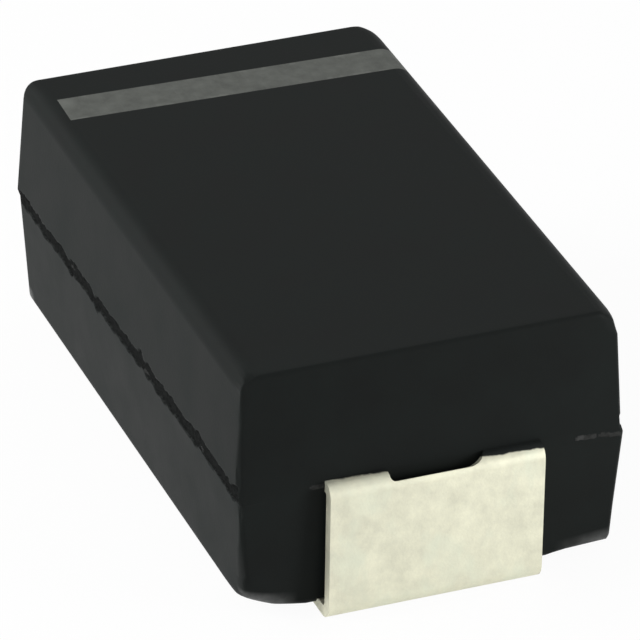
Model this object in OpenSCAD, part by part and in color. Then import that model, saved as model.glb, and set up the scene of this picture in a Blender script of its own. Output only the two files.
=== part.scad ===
// Moulded chip capacitor of the aluminium polymer type, for surface mounting.
// Millimetres. The seating plane is z = 0 and the origin lies midway between the two feet.
// X runs across the case and Y along it: the cathode end is at -Y, the anode end at +Y.

/* [Case] */
// Width of the case at the parting line, inside the flash
case_w = 4.3; // [4.2:0.05:5]
// Length of the case at the parting line, inside the flash
case_l = 6.94; // [6:0.02:8]
// Height of the top face above the seating plane
top_z = 3; // [2.8:0.05:3.4]
// Height of the underside above the seating plane
base_z = 0.08; // [0.03:0.01:0.12]
// Height of the parting plane above the seating plane
parting_z = 1.58; // [1.5:0.01:1.7]
// How far each upper wall leans in between the parting line and the top
upper_lean = 0.07; // [0.04:0.01:0.2]
// How far each lower wall leans in between the parting line and the underside
lower_lean = 0.08; // [0.04:0.01:0.2]
// Sideways offset of the lower mould half from the upper one
mould_shift = 0.03; // [-0.05:0.01:0.05]
// Radius of the two long top edges
long_edge_r = 0.22; // [0.08:0.01:0.3]
// Radius of the two short top edges
end_edge_r = 0.05; // [0.03:0.01:0.15]
// Radius of the two long edges of the underside
base_edge_r = 0.12; // [0.05:0.01:0.2]
// Radius of the two short edges of the underside
base_end_r = 0.12; // [0.04:0.01:0.15]
// Radius of the four upright edges, seen from above
corner_r = 0.05; // [0.02:0.01:0.2]
// Radius of the four top corners, seen along their diagonal
corner_top_r = 0.15; // [0.05:0.01:0.3]
// Radius of the bottom corners at -X +Y and +X -Y, seen along their diagonal
corner_base_r = 0.18; // [0.1:0.01:0.4]
// Radius of the two more worn bottom corners, at -X -Y and +X +Y, seen along their diagonal
worn_corner_r = 0.5; // [0.2:0.01:0.6]
// Width of the sloping border along each long side of the underside
border_w = 0.74; // [0.4:0.01:0.75]
// Rise of that border from the flat of the underside to the wall
border_rise = 0.13; // [0.05:0.01:0.2]
// Height of the flash that runs along the parting line
flash_h = 0.09; // [0.04:0.01:0.1]
// How far the flash stands out from the walls
flash_out = 0.02; // [0.01:0.005:0.04]

/* [Polarity stripe] */
// Width of the stripe along the case
stripe_w = 0.49; // [0.3:0.01:0.8]
// Distance from the anode end of the case to the middle of the stripe
stripe_inset = 0.9; // [0.6:0.01:1.2]
// Turn of the stripe out of square with the case, in degrees
stripe_skew = -1.4; // [-3:0.1:3]
// Distance from the case's side to the stripe's closed end
stripe_margin = 0.25; // [0.2:0.01:0.5]
// How far the stripe's open end runs down over the rounded edge
stripe_drop = 0.1; // [0.04:0.01:0.15]
// Thickness of the stripe's ink
stripe_t = 0.02; // [0.01:0.005:0.03]

/* [Terminals] */
// Width of the lead strip
lead_w = 2.4; // [1.8:0.05:2.6]
// Thickness of the lead strip
lead_t = 0.13; // [0.1:0.01:0.15]
// Straight run of the strip between the case and its first bend
lead_run = 0.03; // [0.01:0.01:0.1]
// Inner radius of the bend beside the parting line
shoulder_r = 0.02; // [0.01:0.01:0.1]
// Inner radius of the bend at the foot
foot_bend_r = 0.06; // [0.03:0.01:0.12]
// Length of the foot, from the outside of the leg
foot_l = 1.3; // [0.9:0.05:1.6]
// Room round each foot in its pocket in the underside
foot_gap = 0.03; // [0.02:0.01:0.06]
// Width of the slot that splits the strip at the shoulder
slot_w = 1.08; // [0.6:0.02:1.3]
// Sideways offset of the slot from the middle of the strip
slot_shift = 0.02; // [-0.2:0.01:0.2]
// Radius of the sharper corner at the slot's end, on the -X side
slot_corner_r = 0.06; // [0.03:0.01:0.12]
// Radius of the rounder corner at the slot's end, on the +X side
slot_round_r = 0.2; // [0.05:0.01:0.3]
// How far above level the slot's end lies on the bend, in degrees
slot_angle = 32; // [10:1:50]
// How far the slot reaches into the case
slot_reach = 0.35; // [0.2:0.05:0.4]
// How far the cathode strip stops short of the inner end of the cathode coats
cathode_margin = 0.2; // [0.1:0.05:0.6]
// How far the anode strip reaches inwards past the welds
weld_margin = 0.01; // [0.01:0.01:0.1]

/* [Foil stack] */
// Width of each anode foil
foil_w = 3.2; // [2.8:0.05:3.3]
// Thickness of each anode foil
foil_t = 0.1; // [0.06:0.01:0.12]
// Thickness of each element over its cathode coat
coat_t = 0.26; // [0.2:0.01:0.28]
// Thickness of the coat beyond the foil's edges
coat_edge = 0.1; // [0.06:0.01:0.15]
// Wall of moulding compound between the cathode end of the case and the stack
cathode_wall = 0.5; // [0.4:0.05:0.7]
// Wall of moulding compound between the welds and the anode end of the case
anode_wall = 0.69; // [0.55:0.01:0.9]
// Length of the insulating band round each foil
band_l = 0.35; // [0.2:0.05:0.4]
// Thickness of each element over its insulating band
band_t = 0.18; // [0.15:0.01:0.2]
// How far the insulating band stands beyond the foil's edges
band_edge = 0.05; // [0.02:0.01:0.06]
// Length over which the bare foil bends in towards the anode strip
fan_l = 0.75; // [0.6:0.05:0.8]
// Length of foil that is welded to the anode strip
weld_l = 0.75; // [0.5:0.05:0.8]
// Thickness of each layer of silver adhesive
glue_t = 0.03; // [0.02:0.01:0.05]

/* [Hidden] */
elements_per_side = 3;
element_count = 2 * elements_per_side;

$fn = 48;
// Straight steps in each rounded corner
arc_steps = 6;
// Steps in the turn of a section round a quarter of the case
turn_steps = 2;
quarter_turn = 90;
// Overlap past a face that a cut has to clear
past = 0.5;

case_black = [0.16, 0.17, 0.165];
stripe_grey = [0.37, 0.38, 0.365];
tin = [0.88, 0.87, 0.79];
bare_aluminium = [0.78, 0.79, 0.8];
band_resin = [0.55, 0.33, 0.16];
silver_coat = [0.5, 0.5, 0.49];
adhesive_silver = [0.66, 0.65, 0.62];

half_w = case_w / 2;
half_l = case_l / 2;

// Outside of each leg, and where the strips start to bend
leg_y = half_l + lead_run + shoulder_r + lead_t;
shoulder_y = half_l + lead_run;
lead_top_z = parting_z + lead_t / 2;
lead_bottom_z = parting_z - lead_t / 2;

// Stations along the foils, from the cathode end to the weld
coat_start_y = -half_l + cathode_wall;
foil_start_y = coat_start_y + coat_edge;
weld_end_y = half_l - anode_wall;
weld_start_y = weld_end_y - weld_l;
fan_start_y = weld_start_y - fan_l;
band_start_y = fan_start_y - band_l;
element_pitch = coat_t + glue_t;

// How far each strip reaches into the case
cathode_reach = band_start_y - cathode_margin + half_l;
anode_reach = half_l - weld_start_y + weld_margin;

// Outlines with rounded corners

// Unit vector from one point towards another
function toward(a, b) = let (d = [b[0] - a[0], b[1] - a[1]]) d / norm(d);

// Points round one corner [x, y, radius], between the corner before it and the one after it
function corner_arc(before, corner, after) =
    let (
        p = [corner[0], corner[1]],
        r = corner[2],
        u = toward(corner, before),
        v = toward(corner, after),
        half = acos(u * v) / 2,
        start = p + u * r / tan(half),
        centre = p + (u + v) / norm(u + v) * r / sin(half),
        from = atan2(start[1] - centre[1], start[0] - centre[0]),
        turn = 180 - 2 * half
    )
    r == 0 ? [p] : [for (k = [0:arc_steps]) centre + r * [cos(from + turn * k / arc_steps),
                                                         sin(from + turn * k / arc_steps)]];

// A closed outline of corners [x, y, radius], in anticlockwise order
module rounded_outline(corners) {
    count = len(corners);
    polygon([for (i = [0:count - 1])
        each corner_arc(corners[(i + count - 1) % count], corners[i], corners[(i + 1) % count])]);
}

// Corners of a half outline from the middle of the underside up, then the same mirrored
function both_sides(right) =
    let (count = len(right))
    concat(right, [for (i = [1:count]) [-right[count - i][0], right[count - i][1], right[count - i][2]]]);

// Placing flat drawings: an end view is drawn in x and z, a side view in y and z

module end_view(length) {
    rotate([90, 0, 0])
        linear_extrude(length, center = true)
            children();
}

module side_view(width) {
    rotate([90, 0, 90])
        linear_extrude(width, center = true)
            children();
}

// Case: the common part of its outlines seen along its length, across it and at turns in between

// Half the case's extent in the direction of a turn, where its half width and half length are as given
function extent(turn, w, l) = (w - corner_r) * cos(turn) + (l - corner_r) * abs(sin(turn)) + corner_r;

// A radius that runs from the long sides, over the corners, to the ends
function edge_radius(turn, at_side, at_corner, at_end) =
    let (share = abs(sin(2 * turn)), plain = abs(turn) < quarter_turn / 2 ? at_side : at_end)
    plain + (at_corner - plain) * share;

// Moves the corners above and below the parting plane apart sideways
function halves_moved(corners, shift) =
    [for (c = corners) [c[0] + (c[1] < parting_z ? shift : -shift) / 2, c[1], c[2]]];

function section_corners(turn) =
    let (
        low = extent(turn, half_w - lower_lean, half_l - lower_lean),
        middle = extent(turn, half_w, half_l),
        high = extent(turn, half_w - upper_lean, half_l - upper_lean),
        rise = border_rise * cos(turn),
        base_corner_r = turn > 0 ? worn_corner_r : corner_base_r
    )
    halves_moved(both_sides([
        [low - border_w, base_z, 0],
        [low, base_z + rise, edge_radius(turn, base_edge_r, base_corner_r, base_end_r)],
        [middle, lead_bottom_z, 0],
        [middle, parting_z - flash_h / 2, 0],
        [middle + flash_out, parting_z - flash_h / 2, 0],
        [middle + flash_out, parting_z + flash_h / 2, 0],
        [middle, parting_z + flash_h / 2, 0],
        [middle, lead_top_z, 0],
        [high, top_z, edge_radius(turn, long_edge_r, corner_top_r, end_edge_r)]
    ]), mould_shift * cos(turn));

module case_section(turn, length) {
    rotate([0, 0, turn])
        end_view(length)
            rounded_outline(section_corners(turn));
}

// Rounds the lower edge of both ends along the border of one side
module border_end_section(side) {
    wall_slope = lower_lean / (lead_bottom_z - base_z);
    edge_y = half_l - lower_lean + wall_slope * border_rise;
    wall_h = 4 * base_end_r;
    translate([side * (half_w - lower_lean - border_w) + mould_shift / 2, 0, base_z])
        rotate([0, -side * atan(border_rise / border_w), 0])
            side_view(2 * case_w)
                rounded_outline(both_sides([
                    [edge_y, 0, base_end_r],
                    [edge_y + wall_slope * wall_h, wall_h, 0],
                    [half_l + past, wall_h, 0],
                    [half_l + past, 2 * top_z, 0]
                ]));
}

module case_body() {
    intersection() {
        intersection_for (k = [1 - turn_steps:turn_steps])
            case_section(k * quarter_turn / turn_steps, case_l + case_w);
        border_end_section(1);
        border_end_section(-1);
    }
}

// Pocket in the underside that a foot lies in, at the cathode end
module foot_pocket() {
    inner_end = -leg_y + foot_l + foot_gap;
    translate([-lead_w / 2 - foot_gap, inner_end - foot_l - past, -past])
        cube([lead_w + 2 * foot_gap, foot_l + past, lead_t + foot_gap + past]);
}

module case() {
    color(case_black) difference() {
        case_body();
        foot_pocket();
        mirror([0, 1, 0]) foot_pocket();
        stripe_film();
        formed_strip(cathode_reach);
        mirror([0, 1, 0]) formed_strip(anode_reach);
        foil_stack();
    }
}

// Polarity stripe: a film let into the top, open at the +X side, where it runs over the rounded edge

module stripe_film() {
    difference() {
        intersection() {
            case_section(0, case_l);
            translate([0, half_l - stripe_inset, top_z - stripe_drop])
                rotate([0, 0, stripe_skew])
                    translate([stripe_margin - half_w, -stripe_w / 2, 0])
                        cube([case_w, stripe_w, stripe_drop + past]);
        }
        translate([-stripe_t, 0, -stripe_t])
            case_section(0, case_l + 2 * past);
    }
}

module polarity_stripe() {
    color(stripe_grey) stripe_film();
}

// Terminals: one strip each, out of the case at mid height, down the end and under it

// A quarter of a bend in the strip, round the origin, in the quadrant with the signs given
module strip_bend(inner_r, side_sign, up_sign) {
    outer_r = inner_r + lead_t;
    intersection() {
        difference() {
            circle(outer_r);
            circle(inner_r);
        }
        translate([min(0, side_sign * outer_r), min(0, up_sign * outer_r)])
            square(outer_r);
    }
}

module strip_side_view(reach) {
    foot_y = -leg_y + lead_t + foot_bend_r;
    leg_start_z = lead_t + foot_bend_r;
    leg_end_z = lead_bottom_z - shoulder_r;
    translate([-shoulder_y, lead_bottom_z]) square([lead_run + reach, lead_t]);
    translate([-shoulder_y, leg_end_z]) strip_bend(shoulder_r, -1, 1);
    translate([-leg_y, leg_start_z]) square([lead_t, leg_end_z - leg_start_z]);
    translate([foot_y, leg_start_z]) strip_bend(foot_bend_r, -1, -1);
    translate([foot_y, 0]) square([foot_l - lead_t - foot_bend_r, lead_t]);
}

// Slot from inside the case to part of the way round the bend, where its end is square to the strip
module shoulder_slot() {
    half_slot = slot_w / 2;
    slot_corners = [
        [half_slot, 0, slot_round_r],
        [half_slot, past, 0],
        [-half_slot, past, 0],
        [-half_slot, 0, slot_corner_r]
    ];
    translate([slot_shift, -shoulder_y, lead_bottom_z - shoulder_r])
        rotate([-slot_angle, 0, 0])
            translate([0, -past / 2, 0])
                end_view(past)
                    rounded_outline(slot_corners);
    translate([slot_shift - half_slot, -shoulder_y, lead_bottom_z - past])
        cube([slot_w, lead_run + slot_reach, lead_t + 2 * past]);
}

// The strip as it lies at the cathode end
module formed_strip(reach) {
    difference() {
        side_view(lead_w) strip_side_view(reach);
        shoulder_slot();
    }
}

module cathode_terminal() {
    color(tin) formed_strip(cathode_reach);
}

module anode_terminal() {
    color(tin) mirror([0, 1, 0]) formed_strip(anode_reach);
}

// Foil stack: elements count outwards from the lead strips, first those above and then those below

function is_below(i) = i > elements_per_side;
function level_of(i) = is_below(i) ? i - elements_per_side : i;

// Height of an element's inner face above the parting plane
function coat_z(level) = lead_t / 2 + glue_t + (level - 1) * element_pitch;

// Height of a foil's inner face above the parting plane, in the element and at the weld
function foil_z(level) = coat_z(level) + (coat_t - foil_t) / 2;
function weld_z(level) = lead_t / 2 + (level - 1) * foil_t;

// Puts a piece drawn above the parting plane on its element's side of it
module on_side_of(i) {
    translate([0, 0, parting_z])
        mirror([0, 0, is_below(i) ? 1 : 0])
            children();
}

module foil_shape(i) {
    level = level_of(i);
    rise = [0, foil_t];
    inner_edge = [
        [foil_start_y, foil_z(level)],
        [fan_start_y, foil_z(level)],
        [weld_start_y, weld_z(level)],
        [weld_end_y, weld_z(level)]
    ];
    on_side_of(i)
        side_view(foil_w)
            polygon(concat(inner_edge, [for (k = [len(inner_edge) - 1:-1:0]) inner_edge[k] + rise]));
}

// A closed block round a foil, from one station along it to another
module wrap_block(i, start_y, length, thickness, edge) {
    block_w = foil_w + 2 * edge;
    on_side_of(i)
        translate([-block_w / 2, start_y, coat_z(level_of(i)) + (coat_t - thickness) / 2])
            cube([block_w, length, thickness]);
}

module band_block(i) {
    wrap_block(i, band_start_y, band_l, band_t, band_edge);
}

module coat_block(i) {
    wrap_block(i, coat_start_y, band_start_y - coat_start_y, coat_t, coat_edge);
}

// The layer of adhesive on the inner face of an element: on the strip, or on the element before it
module glue_layer(i) {
    level = level_of(i);
    on_strip = level == 1;
    coat_w = foil_w + 2 * coat_edge;
    layer_w = on_strip ? min(lead_w, coat_w) : coat_w;
    layer_end_y = on_strip ? cathode_reach - half_l : band_start_y;
    on_side_of(i)
        translate([-layer_w / 2, coat_start_y, coat_z(level) - glue_t])
            cube([layer_w, layer_end_y - coat_start_y, glue_t]);
}

// Everything in the stack, as the moulding compound meets it
module foil_stack() {
    for (i = [1:element_count]) {
        foil_shape(i);
        band_block(i);
        coat_block(i);
        glue_layer(i);
    }
}

module anode_foil(i) {
    color(bare_aluminium) foil_shape(i);
}

module insulating_band(i) {
    color(band_resin) difference() {
        band_block(i);
        foil_shape(i);
    }
}

module cathode_coat(i) {
    color(silver_coat) difference() {
        coat_block(i);
        foil_shape(i);
    }
}

module silver_adhesive() {
    color(adhesive_silver)
        for (i = [1:element_count]) glue_layer(i);
}

case();
polarity_stripe();
cathode_terminal();
anode_terminal();
silver_adhesive();
for (i = [1:element_count]) {
    anode_foil(i);
    insulating_band(i);
    cathode_coat(i);
}
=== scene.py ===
"""Looks of a moulded chip capacitor: black case, grey stripe, tin-plated terminals and a foil stack."""

import math

import bmesh
import bpy
from mathutils import Matrix, Vector, noise
from mathutils.kdtree import KDTree


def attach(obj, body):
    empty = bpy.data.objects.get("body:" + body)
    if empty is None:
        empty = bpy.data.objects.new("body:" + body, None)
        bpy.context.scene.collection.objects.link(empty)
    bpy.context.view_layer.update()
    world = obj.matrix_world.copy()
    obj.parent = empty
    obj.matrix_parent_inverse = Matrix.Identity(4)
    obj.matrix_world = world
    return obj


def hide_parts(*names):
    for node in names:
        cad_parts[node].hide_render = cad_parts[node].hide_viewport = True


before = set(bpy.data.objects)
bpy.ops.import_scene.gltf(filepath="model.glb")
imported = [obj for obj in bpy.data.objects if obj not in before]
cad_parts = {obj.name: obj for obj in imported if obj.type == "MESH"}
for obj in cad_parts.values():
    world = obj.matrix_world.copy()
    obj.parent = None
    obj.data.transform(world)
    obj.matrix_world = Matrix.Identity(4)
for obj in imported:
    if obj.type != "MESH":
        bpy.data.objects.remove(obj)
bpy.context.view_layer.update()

# One millimetre, in metres
MM = 0.001
# Numbers of the foil elements
ELEMENTS = range(1, 7)

# Sizes of the part that its worked pieces and materials follow, in millimetres
HALF_W = 2.15
HALF_L = 3.47
TOP_Z = 3
BASE_Z = 0.08
PARTING_Z = 1.58
LEAD_TOP_Z = 1.645
LEAD_HALF_W = 1.2
FLASH_H = 0.09
# The underside is flat up to the first of these places on each side, and rises from there to the second
BORDER_X = 1.33
BORDER_END_X = 2.07
BORDER_RISE = 0.13
# The printed stripe: its middle and width along the case, and its skew in degrees
STRIPE_Y = 2.57
STRIPE_W = 0.49
STRIPE_SKEW = -1.4
# Distances inside the stripe's edges between which its rim grows dense and lighter: denser ink with a
# painted highlight on its ridge
INK_RIM = (0.06, 0.01)
# A painted glint at the left end of the stripe, and its reach
GLINT_PLACE = (-1.84, 2.78, TOP_Z)
GLINT_REACH = 0.16

# The band round the parting line that is cut finely, in millimetres
BAND_H = 0.44
BAND_CELL = 0.024
BAND_ROWS = 34
# Corners of the band that are this close to a height are at that height
BAND_SLACK = BAND_CELL / 10

# The strip along each long side where the flash has torn away, in millimetres
TORN_Z = 1.6
TORN_SLOPE = -0.015
TORN_H = 0.2
TORN_DEPTH = 0.03
# The strip runs out at the case's end at the cathode
TORN_FADE_Y = (-3.43, -3.47)
# It grows shallow towards the end at the anode
TORN_SHALLOW_Y = (3.1, 3.4)
# Places along the strip where it jogs up or down, and by how much
TORN_JOGS = ((1.75, -0.05), (0.91, -0.045), (-0.55, 0.045), (-0.8, 0.03), (-2.32, 0.035), (-3.27, -0.04))
# A jog is whole up to the first of these distances from its place, and gone at the second
JOG_REACH = (0.02, 0.09)
# Waves in the line of the strip and in its edges: how high and how long they are
TORN_WAVE = (0.025, 0.55)
TORN_EDGE_WAVES = ((0.035, 0.2), (0.025, 0.07))
# The waves of the upper edge are taken this far up in the noise, and those of the lower edge as far down
EDGE_NOISE_Z = 2
# Mean depth of the strip's floor as a share of the whole, and the waves in that share
TORN_FLOOR = 0.75
TORN_FLOOR_WAVE = (0.5, 0.04)
# Distances inside the strip's edge at which the wear starts and has its full depth
TORN_LIP = (-0.004, 0.008)
# Places along the strip of pale chips, and their heights
TORN_CHIPS = ((-0.64, 1.548), (-2.36, 1.585), (1.72, 1.55))
CHIP_SIZE = (0.06, 0.025)

# Remains of flash on the ends: where each starts and stops across the case, and its height there
LEDGES = (
    ((1.6, 1.567), (1.84, 1.552)),
    ((1.87, 1.55), (2.13, 1.52)),
    ((-1.37, 1.595), (-1.21, 1.595)),
)
LEDGE_OUT = 0.015
LEDGE_H = 0.04
# Length over which a ledge rises at its start, and half the length over which it falls at its stop
LEDGE_RISE = 0.04
LEDGE_FALL = 0.02
# Half the height over which a ledge's edges fall away, and how high and how long the waves in it are
LEDGE_LIP = 0.012
LEDGE_WAVE_H = 0.016
LEDGE_WAVE_L = 0.06
# A face is coloured as a ledge where more than this share of the ledge is there
LEDGE_SEEN = 0.2
# A fresh break at the start of a ledge, across the case
FRESH_BREAK = (1.59, 1.7)

# Corners of the case that are worn round: side, end, height of the tip and reach of the wear
WORN_CORNERS = (
    (-1, -1, BASE_Z + BORDER_RISE, 0.6),
    (1, 1, BASE_Z + BORDER_RISE, 0.6),
    (1, 1, TOP_Z, 0.38),
    (1, -1, TOP_Z, 0.32),
)
CORNER_CELL = 0.05
CORNER_CELLS = 12
CORNER_PASSES = 60
# The underside's border on the right rises less by this much
RIGHT_BORDER_DROP = 0.07
# It does so from this far out on the border, and the wall above follows less between these heights
DROP_INSET = 0.2
DROP_FADE_Z = (0.3, 0.6)
# Axis of the rounding of each long top edge: its place across and up
EDGE_AXIS = (1.87, 2.78)
# Towards each end, the edge is a plain round up to the first of these places and no longer at the second
EDGE_ROUND_Y = (3.15, 3.35)
# The left one of them grows fuller towards the front: from where to where, by how much, and cuts there
FULLER_Y = (-0.8, -3.35)
FULLER_GROWTH = 0.041
FULLER_CUTS = 10
# The upright edge on the left at the front is rounder: reach of the rounding and its strength
UPRIGHT_REACH = 0.36
UPRIGHT_PASSES = 6
# Heights between which that rounding sets in, and between which it fades out
UPRIGHT_LOW_Z = (0.35, 0.6)
UPRIGHT_HIGH_Z = (2.6, 2.85)
# Where the lower corners carry a painted reflection of the floor: heights above the edge, places across
# and places along the case
REFLECTION_Z = (0.03, 0.21)
REFLECTION_X = (1.45, 1.95)
REFLECTION_Y = (3.2, 3.36)
# Share of that painted reflection on the right
REFLECTION_ON_RIGHT = 0.35

# Rounding of the sheared edges of the terminals, in millimetres
SHEARED_EDGE_R = 0.012
# Faces that meet flatter than the first angle are one, and edges past the second are sheared, in degrees
FLAT_ANGLE = 1
SHEARED_ANGLE = 60
# Film of resin over each shoulder's root: share of the way outwards that counts, and reach on the right
FILM_OUTWARDS = 0.54
FILM_ON_RIGHT = 0.1
# Half the width of the film's soft edge, which is as ragged as it is soft
FILM_EDGE = 0.008

# Places of the case's materials in its list
MOULDED, TORN, CHIPPED, FRESH = range(4)

NOISE_SEED = Vector((3.7, 1.9, 5.2))
# Matching corners closer than this are one corner, in metres
JOIN_DISTANCE = 1e-7
# Seams narrower than this are closed, in metres
SEAM_WIDTH = 10 * JOIN_DISTANCE
# Edges flatter than this are shaded as one smooth surface, in degrees
SOFT_EDGE = 50

# Camera, as fitted to the photograph's edges
IMAGE_PX = 640
SENSOR_MM = 36
FOCAL_PX = 6338.8
IMAGE_SHIFT_PX = (-9.013, 0.521)
CAMERA_AZIMUTH = -21.695
CAMERA_ELEVATION = 30.46
CAMERA_ROLL = 0.899
CAMERA_DISTANCE = 68.52 * MM
CAMERA_TARGET = Vector((0, 0, 1.4 * MM))

# Light levels: 1 is a level at which a colour renders as it is written
WORLD_LIGHT = 0.42
FLOOR_BOUNCE = 0.82
FLOOR_SHADOW_DEPTH = 0.05

# Colours, linear
BLACK_MOULDING = (0.015, 0.017, 0.0164, 1)
# Painted reflection of the floor, put on the lower corners of the case
PAINTED_FLOOR_REFLECTION = (0.4, 0.405, 0.4, 1)
# Broken epoxy of the torn strip, darker than the skin partly as painted shade of the step at the parting
# line
TORN_AND_SHADED_MOULDING = (0.0105, 0.0112, 0.011, 1)
PALE_CHIP = (0.034, 0.035, 0.034, 1)
FRESH_MOULDING = (0.05, 0.051, 0.05, 1)
GREY_INK = (0.11, 0.116, 0.106, 1)
TIN = (0.84, 0.83, 0.657, 1)
BARE_ALUMINIUM = (0.62, 0.63, 0.64, 1)
AMBER_RESIN = (0.26, 0.09, 0.022, 1)
SILVER_PAINT = (0.24, 0.24, 0.23, 1)
SILVER_GLUE = (0.42, 0.4, 0.37, 1)
WHITE = (1, 1, 1, 1)


# Camera


def add_camera():
    """A long lens at the photograph's viewing angle."""
    azimuth = math.radians(CAMERA_AZIMUTH)
    elevation = math.radians(CAMERA_ELEVATION)
    back = Vector((
        math.sin(azimuth) * math.cos(elevation),
        -math.cos(azimuth) * math.cos(elevation),
        math.sin(elevation),
    ))
    data = bpy.data.cameras.new("camera")
    data.sensor_width = SENSOR_MM
    data.lens = FOCAL_PX / IMAGE_PX * SENSOR_MM
    data.shift_x = -IMAGE_SHIFT_PX[0] / IMAGE_PX
    data.shift_y = IMAGE_SHIFT_PX[1] / IMAGE_PX
    data.clip_start = 1 * MM
    data.clip_end = 1
    camera = bpy.data.objects.new("camera", data)
    aim = back.to_track_quat("Z", "Y").to_matrix().to_4x4()
    roll = Matrix.Rotation(math.radians(CAMERA_ROLL), 4, "Z")
    camera.matrix_world = Matrix.Translation(CAMERA_TARGET + back * CAMERA_DISTANCE) @ aim @ roll
    bpy.context.scene.collection.objects.link(camera)
    bpy.context.scene.camera = camera


# Node helpers


class Nodes:
    """A material's node tree, with short ways to add and join nodes."""

    def __init__(self, tree):
        self.tree = tree
        self.tree.nodes.clear()

    def add(self, kind, **settings):
        """A new node with settings of its own."""
        node = self.tree.nodes.new(kind)
        for name, value in settings.items():
            setattr(node, name, value)
        return node

    def join(self, source, target):
        """Joins an output to an input."""
        self.tree.links.new(source, target)

    def fill(self, source, target):
        """Gives an input a plain value, or joins it to another node's output."""
        if isinstance(source, bpy.types.NodeSocket):
            self.join(source, target)
        else:
            target.default_value = source

    def math(self, operation, *sources):
        """A sum, product and so on of values and outputs."""
        node = self.add("ShaderNodeMath", operation=operation)
        for source, target in zip(sources, node.inputs):
            self.fill(source, target)
        return node.outputs[0]

    def product(self, first, *others):
        """The product of two or more values and outputs."""
        for other in others:
            first = self.math("MULTIPLY", first, other)
        return first

    def millimetres(self):
        """Places on the object, in millimetres."""
        place = self.add("ShaderNodeTexCoord")
        scale = self.add("ShaderNodeVectorMath", operation="SCALE")
        scale.inputs["Scale"].default_value = 1 / MM
        self.join(place.outputs["Object"], scale.inputs[0])
        return scale.outputs[0]

    def parts(self, vector):
        """The x, y and z of a place or direction."""
        split = self.add("ShaderNodeSeparateXYZ")
        self.join(vector, split.inputs[0])
        return split.outputs

    def stretched(self, place, x, y, z):
        """Places scaled along each axis, so that noise is drawn out."""
        scale = self.add("ShaderNodeVectorMath", operation="MULTIPLY")
        scale.inputs[1].default_value = (x, y, z)
        self.join(place, scale.inputs[0])
        return scale.outputs[0]

    def noise(self, place, size_mm, detail=3, roughness=0.55):
        """Noise from 0 to 1 whose blotches are about as wide as the size given."""
        noise_node = self.add("ShaderNodeTexNoise")
        noise_node.inputs["Scale"].default_value = 1 / size_mm
        noise_node.inputs["Detail"].default_value = detail
        noise_node.inputs["Roughness"].default_value = roughness
        self.join(place, noise_node.inputs["Vector"])
        return noise_node.outputs["Fac"]

    def spread(self, source, low, high, from_low=0.3, from_high=0.7):
        """A value mapped onto a range."""
        spread = self.add("ShaderNodeMapRange")
        spread.inputs["From Min"].default_value = from_low
        spread.inputs["From Max"].default_value = from_high
        spread.inputs["To Min"].default_value = low
        spread.inputs["To Max"].default_value = high
        self.join(source, spread.inputs["Value"])
        return spread.outputs["Result"]

    def spot(self, place, centre, reach):
        """1 at a place in millimetres, fading to 0 at a distance from it."""
        distance = self.add("ShaderNodeVectorMath", operation="DISTANCE")
        distance.inputs[1].default_value = centre
        self.join(place, distance.inputs[0])
        return self.spread(distance.outputs["Value"], 1, 0, 0, reach)

    def blend(self, amount, first, second):
        """A colour between two colours."""
        mix = self.add("ShaderNodeMix", data_type="RGBA")
        self.join(amount, mix.inputs[0])
        self.fill(first, mix.inputs[6])
        self.fill(second, mix.inputs[7])
        return mix.outputs[2]

    def bump(self, height, depth_mm):
        """Directions of a surface with a fine relief."""
        bump = self.add("ShaderNodeBump")
        bump.inputs["Strength"].default_value = 1
        bump.inputs["Distance"].default_value = depth_mm * MM
        self.join(height, bump.inputs["Height"])
        return bump.outputs["Normal"]


def shade(colour, factor):
    """A colour made lighter or darker."""
    return tuple(channel * factor for channel in colour[:3]) + (1,)


def tint(colour, red, green, blue):
    """A colour with its channels changed one by one."""
    return (colour[0] * red, colour[1] * green, colour[2] * blue, 1)


def surface(name):
    """A new material with a principled shader: returns the material, its nodes and the shader."""
    material = bpy.data.materials.new(name)
    material.use_nodes = True
    nodes = Nodes(material.node_tree)
    shader = nodes.add("ShaderNodeBsdfPrincipled")
    output = nodes.add("ShaderNodeOutputMaterial")
    nodes.join(shader.outputs[0], output.inputs["Surface"])
    return material, nodes, shader


# Worked pieces: copies of the part's own solids with wear that is too fine for the construction


def joined_copy(node):
    """A node's mesh for editing, with its matching corners joined."""
    work = bmesh.new()
    work.from_mesh(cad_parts[node].data)
    bmesh.ops.remove_doubles(work, verts=work.verts, dist=JOIN_DISTANCE)
    return work


def ramp(value, start, end):
    """0 up to the start, 1 from the end on, and a straight ramp between them."""
    return min(1, max(0, (value - start) / (end - start)))


def true_round(place, normal):
    """The direction of the rounding at a place on a long top edge, and the given direction elsewhere."""
    x, y, z = place / MM
    out = abs(x) - EDGE_AXIS[0]
    up = z - EDGE_AXIS[1]
    if out <= 0 or up <= 0:
        return normal
    from_axis = Vector((math.copysign(out, x), 0, up)).normalized()
    return from_axis.lerp(normal, ramp(abs(y), *EDGE_ROUND_Y)).normalized()


def soften(mesh):
    """Smooth shading over shallow edges, led by the larger faces so that flat walls stay flat."""
    limit = math.cos(math.radians(SOFT_EDGE))
    around = [[] for _ in mesh.vertices]
    for face in mesh.polygons:
        face.use_smooth = True
        for corner in face.vertices:
            around[corner].append(face)
    normals = []
    for face in mesh.polygons:
        for corner in face.vertices:
            alike = [other for other in around[corner] if other.normal.dot(face.normal) > limit]
            total = sum((other.normal * other.area for other in alike), Vector())
            normals.append(true_round(mesh.vertices[corner].co, total.normalized()))
    mesh.normals_split_custom_set(normals)


def worked_piece(work, name, node, materials):
    """Puts an edited copy in the place of the node it was made from."""
    mesh = bpy.data.meshes.new(name)
    work.to_mesh(mesh)
    work.free()
    for material in materials:
        mesh.materials.append(material)
    soften(mesh)
    piece = bpy.data.objects.new(name, mesh)
    bpy.context.scene.collection.objects.link(piece)
    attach(piece, "root")
    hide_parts(node)


def corners_of(faces):
    """The corners of faces, each of them once and always in the same order."""
    return list(dict.fromkeys(corner for face in faces for corner in face.verts))


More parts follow.
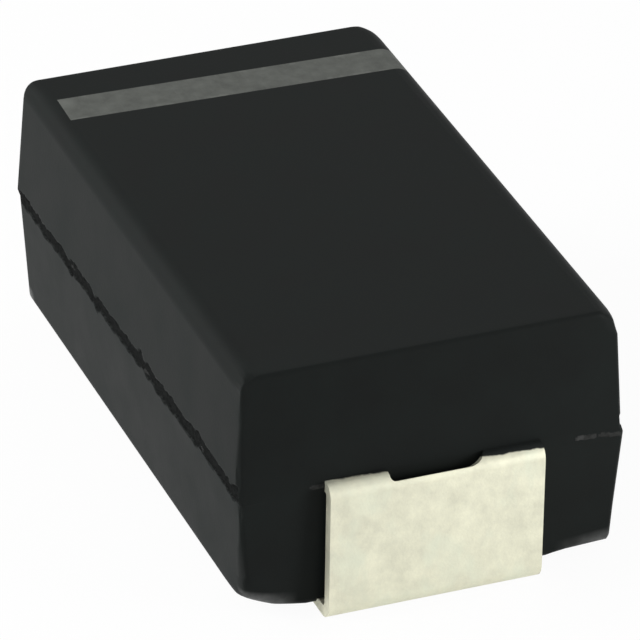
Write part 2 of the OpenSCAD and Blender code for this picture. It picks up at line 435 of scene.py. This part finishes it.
def cut_faces(work, faces, axis, places_mm):
    """Cuts faces with planes square to an axis, and returns the pieces."""
    normal = Vector((axis == "x", axis == "y", axis == "z"))
    edges = dict.fromkeys(edge for face in faces for edge in face.edges)
    parts = [*faces, *edges, *corners_of(faces)]
    for place in places_mm:
        result = bmesh.ops.bisect_plane(
            work, geom=parts, dist=JOIN_DISTANCE, plane_co=normal * place * MM, plane_no=normal)
        parts = result["geom"]
    return [part for part in parts if isinstance(part, bmesh.types.BMFace)]


def steps(reach, size):
    """Places a size apart, from one end of a centred span to the other."""
    count = int(reach / size)
    return [k * size for k in range(-count, count + 1)]


def on_outer_wall(face):
    """True for a face of the case's outer walls, and not for one inside it."""
    slack = 0.2
    return all(abs(c.co.x) / MM > HALF_W - slack or abs(c.co.y) / MM > HALF_L - slack for c in face.verts)


def parting_band(work):
    """Cuts the outside of the case finely along the parting line, and returns the small faces."""
    rows = [PARTING_Z + BAND_H * (k / BAND_ROWS - 0.5) for k in range(BAND_ROWS + 1)]
    walls = [face for face in work.faces if on_outer_wall(face)]
    walls = cut_faces(work, walls, "z", (rows[0], rows[-1]))
    reach = BAND_H / 2 + BAND_SLACK
    band = [face for face in walls if all(abs(c.co.z / MM - PARTING_Z) < reach for c in face.verts)]
    band = cut_faces(work, band, "x", steps(HALF_W, BAND_CELL))
    band = cut_faces(work, band, "y", steps(HALF_L, BAND_CELL))
    return cut_faces(work, band, "z", rows[1:-1])


def outward_directions(faces):
    """The level direction that the wall faces at each corner."""
    outward = {}
    for face in faces:
        level = Vector((face.normal.x, face.normal.y, 0)) * face.calc_area()
        for corner in face.verts:
            outward[corner] = outward.get(corner, Vector()) + level
    return {corner: direction.normalized() for corner, direction in outward.items()}


def wall_rim(walls, height):
    """The corners of wall faces at a height, in a tree that finds the nearest one."""
    rim = [corner for corner in corners_of(walls) if abs(corner.co.z / MM - height) < BAND_SLACK]
    tree = KDTree(len(rim))
    for index, corner in enumerate(rim):
        tree.insert(corner.co, index)
    tree.balance()
    return tree


def close_seams(work):
    """Takes away faces with no area, and closes the slits that they leave."""
    bmesh.ops.dissolve_degenerate(work, dist=SEAM_WIDTH, edges=work.edges)
    open_edges = [edge for edge in work.edges if edge.is_boundary]
    bmesh.ops.holes_fill(work, edges=open_edges, sides=0)


def wear_flash_flush(work, band):
    """Takes away the flash's shelves, draws its crest back to the walls, and returns the faces left."""
    least_level = 0.7
    shelves = []
    crest = []
    walls = []
    for face in band:
        heights = [abs(c.co.z / MM - PARTING_Z) - FLASH_H / 2 for c in face.verts]
        at_edge = max(abs(height) for height in heights) < BAND_SLACK
        if at_edge and abs(face.normal.z) > least_level:
            shelves.append(face)
        elif max(heights) < BAND_SLACK:
            crest.append(face)
        else:
            walls.append(face)
    lower_rim = wall_rim(walls, PARTING_Z - FLASH_H / 2)
    upper_rim = wall_rim(walls, PARTING_Z + FLASH_H / 2)
    bmesh.ops.delete(work, geom=shelves, context="FACES")
    for corner in corners_of(crest):
        share = (corner.co.z / MM - PARTING_Z) / FLASH_H + 0.5
        corner.co = lower_rim.find(corner.co)[0].lerp(upper_rim.find(corner.co)[0], share)
    left = [face for face in band if face.is_valid]
    bmesh.ops.remove_doubles(work, verts=corners_of(left), dist=SEAM_WIDTH)
    close_seams(work)
    work.normal_update()
    return [face for face in left if face.is_valid]


def waves(place, height, length):
    """Height of uneven waves at a place."""
    return height * noise.noise(place / length)


def torn_inside(x, y, z):
    """How far a place on a long side is inside the torn strip, in millimetres: below 0 outside it."""
    along = Vector((x, y, 0)) + NOISE_SEED
    middle = TORN_Z + TORN_SLOPE * y + waves(along, *TORN_WAVE)
    for jog_y, jog in TORN_JOGS:
        middle += jog * (1 - ramp(abs(y - jog_y), *JOG_REACH))
    edge = along + Vector((0, 0, math.copysign(EDGE_NOISE_Z, z - middle)))
    ragged = sum(waves(edge, *wave) for wave in TORN_EDGE_WAVES)
    run_out = TORN_H * ramp(-y, -TORN_FADE_Y[0], -TORN_FADE_Y[1])
    return TORN_H / 2 + ragged - run_out - abs(z - middle)


def across_end(x, y):
    """How far to the right a place on an end is, for someone who looks at that end."""
    return x if y < 0 else -x


def ledge_share(x, y, z):
    """How much of a ledge of flash there is at a place on an end, from 0 to 1."""
    across = across_end(x, y)
    share = 0
    for (start, start_z), (stop, stop_z) in LEDGES:
        risen = ramp(across, start, start + LEDGE_RISE)
        fallen = ramp(across, stop - LEDGE_FALL, stop + LEDGE_FALL)
        along = min(risen, 1 - fallen)
        height = start_z + (stop_z - start_z) * ramp(across, start, stop)
        ragged = LEDGE_WAVE_H * noise.noise(Vector((across, 0, 0)) / LEDGE_WAVE_L + NOISE_SEED)
        off = abs(z - height - ragged)
        up = 1 - ramp(off, LEDGE_H / 2 - LEDGE_LIP, LEDGE_H / 2 + LEDGE_LIP)
        share = max(share, along * up)
    return share


def band_move(corner, direction):
    """How a corner of the parting band is moved by wear, in metres."""
    x, y, z = corner.co / MM
    if abs(direction.x) > abs(direction.y):
        rough = TORN_FLOOR + waves(Vector((x, y, z)) + NOISE_SEED, *TORN_FLOOR_WAVE)
        depth = TORN_DEPTH * rough * (1 - ramp(y, *TORN_SHALLOW_Y))
        out = -depth * ramp(torn_inside(x, y, z), *TORN_LIP)
    else:
        out = LEDGE_OUT * ledge_share(x, y, z)
    return direction * out * MM


def band_material(face):
    """Which of the case's materials a face of the parting band has."""
    x, y, z = face.calc_center_median() / MM
    if abs(face.normal.x) < abs(face.normal.y):
        if ledge_share(x, y, z) <= LEDGE_SEEN:
            return MOULDED
        return FRESH if FRESH_BREAK[0] < across_end(x, y) < FRESH_BREAK[1] else CHIPPED
    for chip_y, chip_z in TORN_CHIPS:
        if x < 0 and math.hypot((y - chip_y) / CHIP_SIZE[0], (z - chip_z) / CHIP_SIZE[1]) < 1:
            return CHIPPED
    return TORN if torn_inside(x, y, z) > 0 else MOULDED


def on_top_or_underside(face):
    """True for a face of the case's top or underside, and not for one inside it."""
    heights = [c.co.z / MM for c in face.verts]
    slack = 2 * BORDER_RISE
    least_level = 0.5
    if face.normal.z > 0:
        return face.normal.z > least_level and min(heights) > TOP_Z - slack
    return face.normal.z < -least_level and max(heights) < BASE_Z + slack


def corner_skin(work):
    """Cuts the case's skin finely at its corners and along the fuller edge, and returns its points."""
    inwards = [k * CORNER_CELL for k in range(CORNER_CELLS)]
    skin = [face for face in work.faces if on_outer_wall(face) or on_top_or_underside(face)]
    heights = [BASE_Z + step for step in inwards] + [TOP_Z - step for step in inwards]
    skin = cut_faces(work, skin, "z", heights)
    skin = cut_faces(work, skin, "x", [side * (HALF_W - step) for step in inwards for side in (-1, 1)])
    skin = cut_faces(work, skin, "y", [side * (HALF_L - step) for step in inwards for side in (-1, 1)])
    start, whole = FULLER_Y
    fuller = [start + (whole - start) * k / FULLER_CUTS for k in range(FULLER_CUTS)]
    skin = cut_faces(work, skin, "y", fuller)
    return corners_of(skin)


def flatten_right_border(points):
    """Lowers the border of the underside on the right, and the foot of the wall with it."""
    for point in points:
        x, _, z = point.co / MM
        share = ramp(x, BORDER_X + DROP_INSET, BORDER_END_X) * (1 - ramp(z, *DROP_FADE_Z))
        point.co.z -= RIGHT_BORDER_DROP * share * MM


def fill_out_left_edge(points):
    """Makes the long top edge on the left fuller towards the front, but no higher than the end's edge."""
    start, whole = FULLER_Y
    for point in points:
        x, y, z = point.co / MM
        out = -x - EDGE_AXIS[0]
        up = z - EDGE_AXIS[1]
        if out > 0 and up > 0:
            at_bend = 2 * out * up / (out ** 2 + up ** 2)
            share = ramp(-y, -start, -whole)
            growth = FULLER_GROWTH * at_bend ** 2 * share ** 2 * (3 - 2 * share)
            point.co += Vector((-out, 0, up)).normalized() * growth * MM
            ceiling = TOP_Z - max(0, whole - y)
            point.co.z = min(point.co.z, max(ceiling, z) * MM)


def draw_together(softness, passes, level=False):
    """Draws points towards close neighbours by their softness, 0 to 1, and keeps heights if level."""
    near = [point for point in softness if softness[point] > 0]
    for _ in range(passes):
        moved = {}
        for point in near:
            close = [edge.other_vert(point).co for edge in point.link_edges
                     if edge.calc_length() < 2 * CORNER_CELL * MM]
            if close:
                middle = sum(close, Vector()) / len(close)
                moved[point] = point.co.lerp(middle, softness[point] / 2)
        for point, place in moved.items():
            point.co = Vector((place.x, place.y, point.co.z)) if level else place


def wear_corners(points):
    """Wears corners round."""
    for side, end, height, reach in WORN_CORNERS:
        tip = Vector((side * HALF_W, end * HALF_L, height)) * MM
        softness = {point: 1 - ramp((point.co - tip).length / MM, reach / 2, reach) for point in points}
        draw_together(softness, CORNER_PASSES)


def soften_front_edge(points):
    """Rounds the upright edge on the left at the front, between its two corners."""
    softness = {}
    for point in points:
        x, y, z = point.co / MM
        beside = 1 - ramp(math.hypot(x + HALF_W, y + HALF_L), UPRIGHT_REACH / 2, UPRIGHT_REACH)
        softness[point] = beside * ramp(z, *UPRIGHT_LOW_Z) * (1 - ramp(z, *UPRIGHT_HIGH_Z))
    draw_together(softness, UPRIGHT_PASSES, level=True)


def make_case(materials):
    """The case with worn corners and edges, its flash worn flush or torn away, and ledges of it left."""
    work = joined_copy("case")
    points = corner_skin(work)
    flatten_right_border(points)
    fill_out_left_edge(points)
    wear_corners(points)
    soften_front_edge(points)
    work.normal_update()
    band = wear_flash_flush(work, parting_band(work))
    for face in band:
        face.material_index = band_material(face)
    outward = outward_directions(band)
    moves = {corner: band_move(corner, direction) for corner, direction in outward.items()}
    for corner, move in moves.items():
        corner.co += move
    worked_piece(work, "moulded_case", "case", materials)


def make_terminal(node, name, material):
    """A terminal with its sheared edges rounded off."""
    work = joined_copy(node)
    flat = math.radians(FLAT_ANGLE)
    bmesh.ops.dissolve_limit(work, angle_limit=flat, verts=work.verts, edges=work.edges)
    sharp = [edge for edge in work.edges if edge.calc_face_angle(0) > math.radians(SHEARED_ANGLE)]
    bmesh.ops.bevel(
        work, geom=sharp, offset=SHEARED_EDGE_R * MM, offset_type="OFFSET", segments=2,
        profile=0.5, affect="EDGES", clamp_overlap=True)
    worked_piece(work, name, node, (material,))


# Materials


def moulding_material():
    """Black epoxy: a smooth moulded skin, with a painted reflection of the floor on the lower corners."""
    material, nodes, shader = surface("black_moulding")
    place = nodes.millimetres()
    x, y, z = nodes.parts(place)
    mottle = nodes.noise(place, 0.6)
    grain = nodes.noise(place, 0.03, detail=2)
    skin = nodes.blend(nodes.spread(mottle, 0, 1), tint(BLACK_MOULDING, 0.96, 0.94, 0.94),
                       tint(BLACK_MOULDING, 1.03, 1.06, 1.05))
    aside = nodes.math("ABSOLUTE", x)
    border_z = nodes.spread(aside, BASE_Z, BASE_Z + BORDER_RISE, BORDER_X, BORDER_END_X)
    drop = nodes.spread(x, 0, RIGHT_BORDER_DROP, BORDER_X, BORDER_END_X)
    edge_z = nodes.math("SUBTRACT", border_z, drop)
    # A painted reflection of the floor, in blotches, on the lower corners near the ends
    low = nodes.spread(nodes.math("SUBTRACT", z, edge_z), 1, 0, *REFLECTION_Z)
    beside_lead = nodes.spread(aside, 0, 1, *REFLECTION_X)
    at_end = nodes.spread(nodes.math("ABSOLUTE", y), 0, 1, *REFLECTION_Y)
    reflection_blotches = nodes.spread(nodes.noise(place, 0.12), 0.45, 1)
    one_sided = nodes.spread(x, 1, REFLECTION_ON_RIGHT, -HALF_W, HALF_W)
    painted_reflection = nodes.product(low, beside_lead, at_end, reflection_blotches, one_sided)
    nodes.join(nodes.blend(painted_reflection, skin, PAINTED_FLOOR_REFLECTION), shader.inputs["Base Color"])
    nodes.join(nodes.spread(mottle, 0.38, 0.46), shader.inputs["Roughness"])
    nodes.join(nodes.bump(grain, 0.001), shader.inputs["Normal"])
    shader.inputs["Specular IOR Level"].default_value = 0.017
    return material


def torn_material(name, colour):
    """Broken epoxy along the parting line: rough and without a sheen."""
    material, nodes, shader = surface(name)
    place = nodes.millimetres()
    flakes = nodes.noise(place, 0.05, detail=2)
    crumbs = nodes.noise(place, 0.015, detail=3)
    nodes.join(nodes.blend(nodes.spread(flakes, 0, 1), shade(colour, 0.8), shade(colour, 1.3)),
               shader.inputs["Base Color"])
    nodes.join(nodes.bump(crumbs, 0.006), shader.inputs["Normal"])
    shader.inputs["Roughness"].default_value = 0.9
    shader.inputs["Specular IOR Level"].default_value = 0.01
    return material


def ink_material():
    """Grey print: thin, uneven, with a denser rim here and there that also carries a painted highlight,
    and a painted glint at its left end.
    """
    material, nodes, shader = surface("grey_ink")
    place = nodes.millimetres()
    x, y, _ = nodes.parts(place)
    mottle = nodes.noise(place, 0.2, detail=4, roughness=0.65)
    rubbed = nodes.noise(nodes.stretched(place, 1, 0.3, 1), 0.07)
    body = nodes.blend(nodes.spread(mottle, 0, 1), shade(GREY_INK, 0.8), shade(GREY_INK, 1.18))
    streaked = nodes.blend(nodes.spread(rubbed, 0, 0.3, 0.55, 0.75), body, shade(GREY_INK, 1.4))
    skew = nodes.math("MULTIPLY", x, math.tan(math.radians(STRIPE_SKEW)))
    across = nodes.math("ABSOLUTE", nodes.math("SUBTRACT", nodes.math("SUBTRACT", y, STRIPE_Y), skew))
    # Denser ink along the rim here and there, lightened further as a painted highlight
    at_rim = nodes.spread(across, 0, 1, STRIPE_W / 2 - INK_RIM[0], STRIPE_W / 2 - INK_RIM[1])
    here_and_there = nodes.spread(nodes.noise(place, 0.22), 0, 0.8, 0.52, 0.62)
    # A painted glint at the stripe's left end
    painted_glint = nodes.product(nodes.spot(place, GLINT_PLACE, GLINT_REACH), 0.9)
    dense_rim_and_glint = nodes.math("MAXIMUM", nodes.product(at_rim, here_and_there), painted_glint)
    nodes.join(nodes.blend(dense_rim_and_glint, streaked, shade(GREY_INK, 1.45)), shader.inputs["Base Color"])
    nodes.join(nodes.bump(mottle, 0.002), shader.inputs["Normal"])
    shader.inputs["Roughness"].default_value = 0.6
    shader.inputs["Specular IOR Level"].default_value = 0.1
    return material


def tin_material():
    """Matt tin plate: pale, a little warm, blotched, with resin bled over the root of each shoulder that
    is painted lighter than the case, a painted light against the shade there.
    """
    material, nodes, shader = surface("matt_tin")
    place = nodes.millimetres()
    x, y, z = nodes.parts(place)
    blotch = nodes.noise(place, 0.22, detail=4, roughness=0.65)
    stain = nodes.noise(nodes.stretched(place, 1, 1, 0.6), 0.35)
    grain = nodes.noise(place, 0.03, detail=4)
    body = nodes.blend(nodes.spread(blotch, 0, 1), shade(TIN, 0.88), shade(TIN, 1.07))
    stained = nodes.blend(nodes.spread(stain, 0, 0.6, 0.5, 0.7), body, tint(TIN, 0.95, 1, 1.02))
    out = nodes.math("SUBTRACT", nodes.math("ABSOLUTE", y), HALF_L)
    down = nodes.math("SUBTRACT", LEAD_TOP_Z, z)
    from_root = nodes.math("ADD", nodes.product(out, FILM_OUTWARDS), down)
    bled = nodes.spread(x, 0, FILM_ON_RIGHT, -LEAD_HALF_W, LEAD_HALF_W)
    ragged = nodes.spread(nodes.noise(place, 0.12), -FILM_EDGE, FILM_EDGE)
    past_film = nodes.math("SUBTRACT", nodes.math("ADD", from_root, ragged), bled)
    film = nodes.spread(past_film, 1, 0, -FILM_EDGE, FILM_EDGE)
    # The resin film is the case's colour made lighter as painted light, against the shade of the case
    # wall beside it
    nodes.join(nodes.blend(film, stained, shade(BLACK_MOULDING, 1.5)), shader.inputs["Base Color"])
    nodes.join(nodes.spread(film, 0.3, 0, 0, 1), shader.inputs["Metallic"])
    nodes.join(nodes.spread(blotch, 0.42, 0.54), shader.inputs["Roughness"])
    nodes.join(nodes.bump(grain, 0.003), shader.inputs["Normal"])
    shader.inputs["Specular IOR Level"].default_value = 0.05
    return material


def foil_material():
    """Etched aluminium foil, matt and very finely pitted."""
    material, nodes, shader = surface("etched_foil")
    place = nodes.millimetres()
    pits = nodes.noise(place, 0.02, detail=4)
    colour = nodes.blend(nodes.spread(pits, 0, 1), shade(BARE_ALUMINIUM, 0.85), BARE_ALUMINIUM)
    nodes.join(colour, shader.inputs["Base Color"])
    nodes.join(nodes.bump(pits, 0.004), shader.inputs["Normal"])
    shader.inputs["Metallic"].default_value = 1
    shader.inputs["Roughness"].default_value = 0.55
    return material


def resin_material():
    """Amber insulating resin, smooth and slightly uneven in thickness."""
    material, nodes, shader = surface("amber_resin")
    place = nodes.millimetres()
    flow = nodes.noise(place, 0.15)
    colour = nodes.blend(nodes.spread(flow, 0, 1), shade(AMBER_RESIN, 0.75), shade(AMBER_RESIN, 1.2))
    nodes.join(colour, shader.inputs["Base Color"])
    nodes.join(nodes.bump(flow, 0.006), shader.inputs["Normal"])
    shader.inputs["Roughness"].default_value = 0.25
    return material


def paste_material(name, colour, flake_mm, metallic):
    """Silver-filled paste or paint: matt, with flakes."""
    material, nodes, shader = surface(name)
    place = nodes.millimetres()
    flakes = nodes.noise(place, flake_mm, detail=4)
    body = nodes.blend(nodes.spread(flakes, 0, 1), shade(colour, 0.7), shade(colour, 1.2))
    nodes.join(body, shader.inputs["Base Color"])
    nodes.join(nodes.bump(flakes, 0.005), shader.inputs["Normal"])
    shader.inputs["Metallic"].default_value = metallic
    shader.inputs["Roughness"].default_value = 0.5
    return material


def floor_material():
    """Pale floor that is white to the camera and in reflections, with the object's shadow kept."""
    material = bpy.data.materials.new("pale_floor")
    material.use_nodes = True
    nodes = Nodes(material.node_tree)
    path = nodes.add("ShaderNodeLightPath")
    lit = nodes.add("ShaderNodeBsdfDiffuse")
    lit.inputs["Color"].default_value = shade(WHITE, FLOOR_BOUNCE)
    shadowed = nodes.add("ShaderNodeBsdfDiffuse")
    shadowed.inputs["Color"].default_value = shade(WHITE, FLOOR_SHADOW_DEPTH)
    glow = nodes.add("ShaderNodeEmission")
    glow.inputs["Strength"].default_value = 1 - FLOOR_SHADOW_DEPTH
    seen = nodes.add("ShaderNodeAddShader")
    nodes.join(shadowed.outputs[0], seen.inputs[0])
    nodes.join(glow.outputs[0], seen.inputs[1])
    white = nodes.add("ShaderNodeEmission")
    direct = nodes.add("ShaderNodeMixShader")
    nodes.join(path.outputs["Is Camera Ray"], direct.inputs[0])
    nodes.join(lit.outputs[0], direct.inputs[1])
    nodes.join(seen.outputs[0], direct.inputs[2])
    final = nodes.add("ShaderNodeMixShader")
    mirrored = nodes.math("MAXIMUM", path.outputs["Is Glossy Ray"], path.outputs["Is Transmission Ray"])
    nodes.join(mirrored, final.inputs[0])
    nodes.join(direct.outputs[0], final.inputs[1])
    nodes.join(white.outputs[0], final.inputs[2])
    output = nodes.add("ShaderNodeOutputMaterial")
    nodes.join(final.outputs[0], output.inputs["Surface"])
    return material


# Stage


def add_world():
    """White to the camera and in reflections, a soft light to everything else."""
    world = bpy.data.worlds.new("studio")
    world.use_nodes = True
    bpy.context.scene.world = world
    nodes = Nodes(world.node_tree)
    path = nodes.add("ShaderNodeLightPath")
    mirrored = nodes.math("MAXIMUM", path.outputs["Is Glossy Ray"], path.outputs["Is Transmission Ray"])
    seen = nodes.math("MAXIMUM", path.outputs["Is Camera Ray"], mirrored)
    background = nodes.add("ShaderNodeBackground")
    background.inputs["Color"].default_value = WHITE
    nodes.join(nodes.spread(seen, WORLD_LIGHT, 1, 0, 1), background.inputs["Strength"])
    output = nodes.add("ShaderNodeOutputWorld")
    nodes.join(background.outputs[0], output.inputs["Surface"])


def add_floor():
    """A wide pale floor at the seating plane."""
    half = 400 * MM
    mesh = bpy.data.meshes.new("floor")
    corners = [(-half, -half, 0), (half, -half, 0), (half, half, 0), (-half, half, 0)]
    mesh.from_pydata(corners, [], [(0, 1, 2, 3)])
    floor = bpy.data.objects.new("floor", mesh)
    floor.data.materials.append(floor_material())
    bpy.context.scene.collection.objects.link(floor)


def add_lamp(name, place_mm, size_mm, watts):
    """A square soft lamp that looks at the object."""
    data = bpy.data.lights.new(name, "AREA")
    data.size = size_mm * MM
    data.energy = watts
    lamp = bpy.data.objects.new(name, data)
    place = Vector(place_mm) * MM
    lamp.location = place
    lamp.rotation_mode = "QUATERNION"
    lamp.rotation_quaternion = place.to_track_quat("Z", "Y")
    bpy.context.scene.collection.objects.link(lamp)


def paint(node, material):
    """Gives a node of the frame its finish."""
    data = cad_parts[node].data
    data.materials.clear()
    data.materials.append(material)


# The scene, built from the functions above

add_camera()
add_world()
add_floor()
add_lamp("side_lamp", place_mm=(-66, 18, 34), size_mm=44, watts=0.05)
add_lamp("edge_lamp", place_mm=(-46, 72, 29), size_mm=40, watts=0.01)
add_lamp("front_lamp", place_mm=(11, -13, 4), size_mm=6, watts=0.00115)

moulding = moulding_material()
paint("case", moulding)
make_case((
    moulding,
    # The torn strip: broken epoxy, with painted shade of the step in its colour
    torn_material("torn_and_shaded_moulding", TORN_AND_SHADED_MOULDING),
    torn_material("pale_chip", PALE_CHIP),
    torn_material("fresh_break", FRESH_MOULDING),
))
paint("polarity_stripe", ink_material())
tin = tin_material()
paint("cathode_terminal", tin)
paint("anode_terminal", tin)
make_terminal("cathode_terminal", "cathode_lead", tin)
make_terminal("anode_terminal", "anode_lead", tin)
paint("silver_adhesive", paste_material("silver_glue", SILVER_GLUE, flake_mm=0.03, metallic=0.6))
foil = foil_material()
resin = resin_material()
silver_paint = paste_material("silver_paint", SILVER_PAINT, flake_mm=0.02, metallic=0.4)
for i in ELEMENTS:
    paint(f"anode_foil_{i}", foil)
    paint(f"insulating_band_{i}", resin)
    paint(f"cathode_coat_{i}", silver_paint)

scene = bpy.context.scene
scene.view_settings.view_transform = "Standard"
